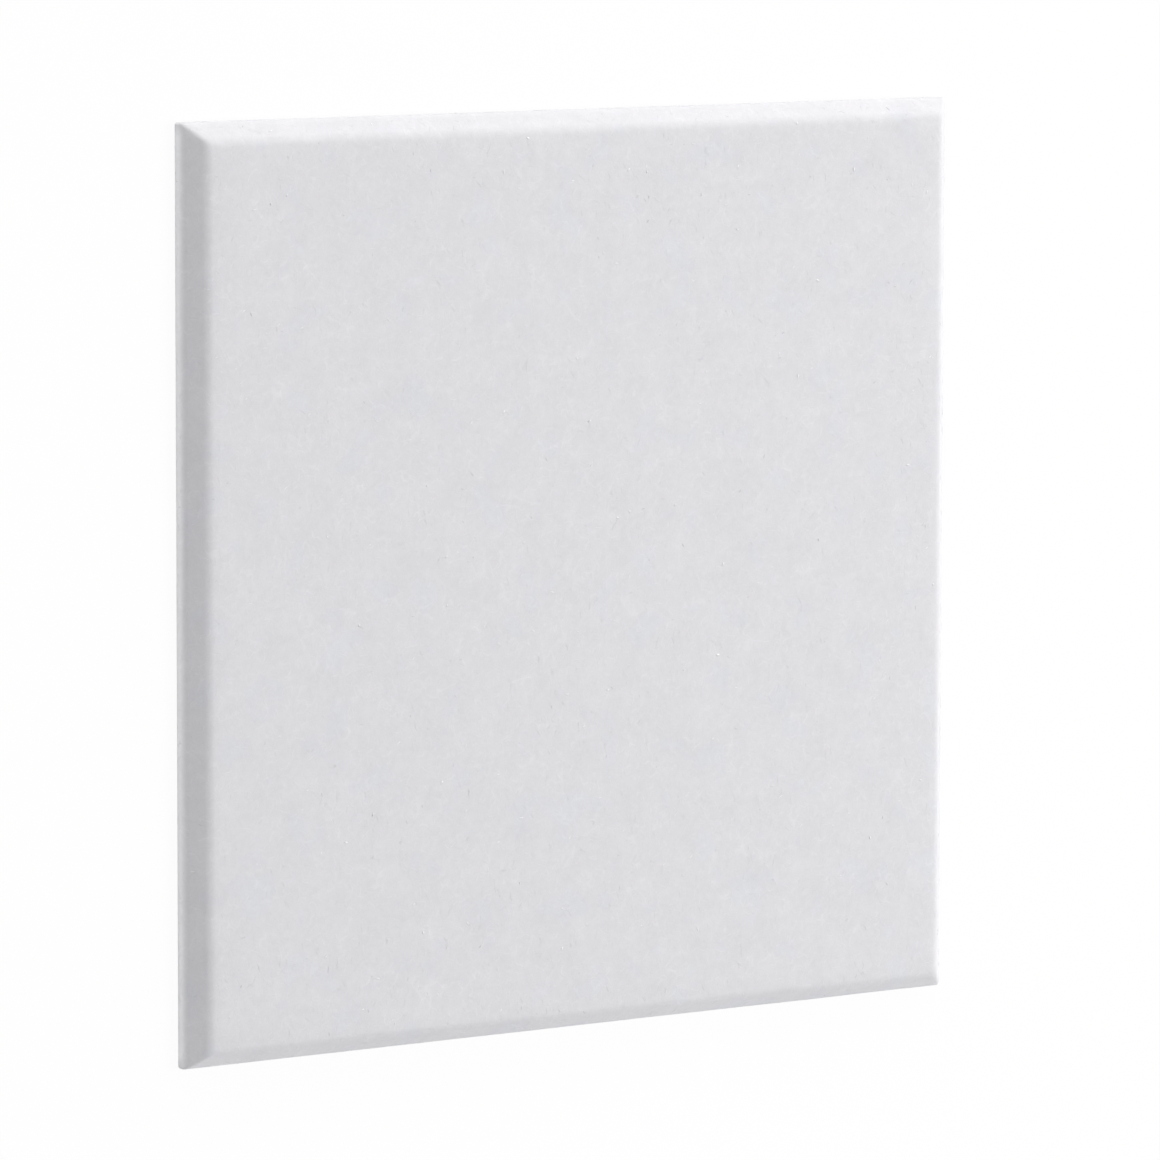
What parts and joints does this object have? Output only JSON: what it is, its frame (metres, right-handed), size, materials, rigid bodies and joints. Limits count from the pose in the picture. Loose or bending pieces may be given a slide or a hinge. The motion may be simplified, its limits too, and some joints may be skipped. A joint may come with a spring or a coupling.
{
  "type": "acoustic panel",
  "caption": "Square felt acoustic wall tile: flat face, bevelled edges with soft arrises, short straight sides and a plain flat back to glue or tape to a wall.",
  "frame": {"origin": "middle of the flat back face, which the tile lies on", "axes": "+Z the way the face looks when the tile lies on its back; +X and +Y along its equal sides"},
  "size_m": [0.3, 0.3, 0.01],
  "materials": {
    "felt": "pale melange grey pressed polyester felt, matt, with short fibres lying every way"
  },
  "bodies": {
    "root": {"felt_panel": "felt"}
  },
  "joints": []
}
